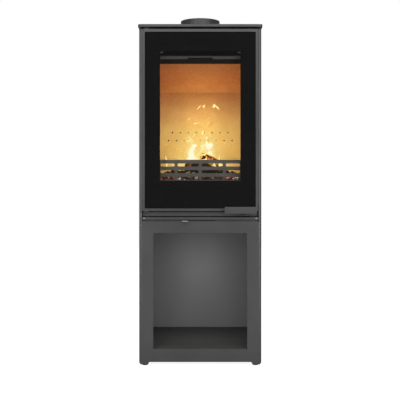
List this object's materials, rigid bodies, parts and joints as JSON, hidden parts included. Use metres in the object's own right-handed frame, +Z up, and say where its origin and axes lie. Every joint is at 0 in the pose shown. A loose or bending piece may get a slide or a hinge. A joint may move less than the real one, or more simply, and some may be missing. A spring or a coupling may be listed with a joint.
{
  "type": "wood burning stove",
  "caption": "Tall free-standing wood burning stove with a large glass door over a square open log store, top flue spigot, door handle and sliding air lever.",
  "frame": {"origin": "on the floor, under the centre of the stove's bounding box", "axes": "+Z up, -Y out of the front (the door side), +X to the right of someone facing the door"},
  "size_m": [0.449, 0.421, 1.278],
  "materials": {
    "casing_paint": "matt anthracite heat-resistant paint",
    "firebox_paint": "matt black heat-resistant paint",
    "vermiculite": "pressed vermiculite, matt",
    "cast_iron": "as cast, matt",
    "zinc_plate": "zinc plated, satin",
    "ceramic_glass": "clear, polished",
    "black_enamel": "screen-printed black enamel",
    "seal_rope": "knitted glass fibre",
    "black_steel": "satin black",
    "foot_plastic": "moulded, matt",
    "firewood": "split and charred",
    "embers": "glowing charcoal and ash"
  },
  "bodies": {
    "stove": {"top_plate": "casing_paint", "top_plate_spacers": "firebox_paint", "side_panel_left": "casing_paint", "side_panel_right": "casing_paint", "rear_panel": "casing_paint", "lower_apron": "casing_paint", "bottom_plate": "casing_paint", "trim_screws": "zinc_plate", "flue_collar": "casing_paint", "flue_collar_bolts": "zinc_plate", "firebox_front": "firebox_paint", "firebox_side_walls": "firebox_paint", "firebox_back_wall": "firebox_paint", "firebox_top": "firebox_paint", "firebox_floor": "firebox_paint", "hearth_shelf": "firebox_paint", "hearth_bricks": "vermiculite", "back_brick_lower": "vermiculite", "back_brick_upper": "vermiculite", "side_bricks": "vermiculite", "lower_baffle": "vermiculite", "upper_baffle": "firebox_paint", "baffle_supports": "firebox_paint", "airwash_deflector": "cast_iron", "rear_air_duct": "firebox_paint", "fire_grate": "cast_iron", "ash_pan": "casing_paint", "log_guard": "cast_iron", "air_box": "firebox_paint", "air_slide_guides": "firebox_paint", "hinge_brackets": "firebox_paint", "hinge_pins": "zinc_plate", "latch_keeper": "zinc_plate", "firewood_logs": "firewood", "ember_bed": "embers", "base_top_panel": "casing_paint", "base_front_panel": "casing_paint", "base_side_left": "casing_paint", "base_side_right": "casing_paint", "base_back_panel": "casing_paint", "base_floor": "casing_paint", "base_spacers": "firebox_paint", "base_bolts": "zinc_plate", "foot_sockets": "firebox_paint"},
    "door": {"door_frame": "casing_paint", "door_glass": "ceramic_glass", "glass_border": "black_enamel", "glass_gasket": "seal_rope", "door_inner_frame": "firebox_paint", "door_rope_seal": "seal_rope", "glass_clamps": "zinc_plate", "hinge_bushes": "zinc_plate", "handle_bracket": "firebox_paint"},
    "handle": {"door_handle": "casing_paint", "latch_tongue": "black_steel"},
    "air_control": {"air_slide": "zinc_plate"},
    "foot_front_left": {"levelling_foot_front_left": "foot_plastic"},
    "foot_front_right": {"levelling_foot_front_right": "foot_plastic"},
    "foot_rear_left": {"levelling_foot_rear_left": "foot_plastic"},
    "foot_rear_right": {"levelling_foot_rear_right": "foot_plastic"}
  },
  "joints": [
    {"name": "door_swing", "type": "hinge", "parent": "stove", "child": "door", "pos_m": [-0.1938, -0.1773, 0.886], "axis": [0, 0, -1], "range_deg": [0, 100]},
    {"name": "handle_turn", "type": "hinge", "parent": "door", "child": "handle", "pos_m": [0.1535, -0.1935, 0.5605], "axis": [0, 0, 1], "range_deg": [0, 20]},
    {"name": "air_lever_slide", "type": "slide", "parent": "stove", "child": "air_control", "axis": [1, 0, 0], "range_m": [0, 0.1]},
    {"name": "foot_screw_front_left", "type": "slide", "parent": "stove", "child": "foot_front_left", "axis": [0, 0, -1], "range_m": [0, 0.012]},
    {"name": "foot_screw_front_right", "type": "slide", "parent": "stove", "child": "foot_front_right", "axis": [0, 0, -1], "range_m": [0, 0.012]},
    {"name": "foot_screw_rear_left", "type": "slide", "parent": "stove", "child": "foot_rear_left", "axis": [0, 0, -1], "range_m": [0, 0.012]},
    {"name": "foot_screw_rear_right", "type": "slide", "parent": "stove", "child": "foot_rear_right", "axis": [0, 0, -1], "range_m": [0, 0.012]}
  ]
}
